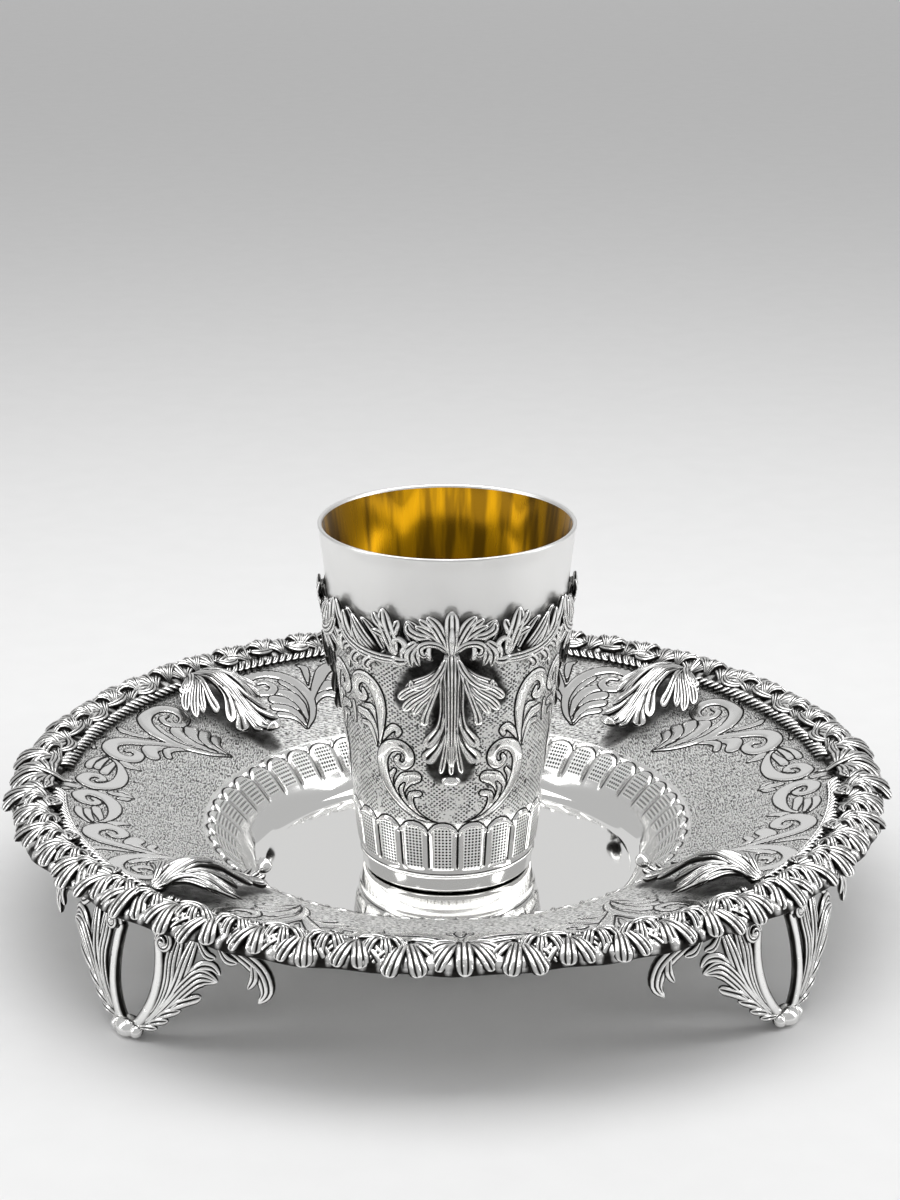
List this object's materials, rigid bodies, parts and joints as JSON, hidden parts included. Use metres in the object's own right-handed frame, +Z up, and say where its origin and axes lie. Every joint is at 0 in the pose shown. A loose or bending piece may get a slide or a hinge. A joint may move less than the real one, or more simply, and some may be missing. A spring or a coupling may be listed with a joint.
{
  "type": "kiddush cup",
  "caption": "Tapered silver beaker with a gilt inside, hung with cast leaves, standing on a matching round footed tray with a fluted well, engraved flange and leafy cast border.",
  "frame": {"origin": "on the table under the middle of the cup and tray", "axes": "+Z up; the cup's front leaf faces -Y; the tray's legs stand on the diagonals between the X and Y axes"},
  "size_m": [0.2112, 0.2112, 0.0933],
  "materials": {
    "polished_silver": "sterling silver, mirror polished and chased, dark in the recesses",
    "engraved_silver": "sterling silver, engraved scrolls on a finely matted ground, mirror-polished well",
    "cast_silver": "cast sterling silver, oxidised black in the recesses and polished on the high points",
    "gilding": "deep yellow gold plating, mirror polished"
  },
  "bodies": {
    "root": {"cup_body": "polished_silver", "cup_garland": "cast_silver", "cup_leaf_1": "cast_silver", "cup_leaf_2": "cast_silver", "cup_leaf_3": "cast_silver", "tray_dish": "engraved_silver", "tray_border": "cast_silver", "tray_leaf_1": "cast_silver", "tray_leaf_2": "cast_silver", "tray_leaf_3": "cast_silver", "tray_leaf_4": "cast_silver", "tray_leg_1": "cast_silver", "tray_leg_2": "cast_silver", "tray_leg_3": "cast_silver", "tray_leg_4": "cast_silver"}
  },
  "joints": []
}
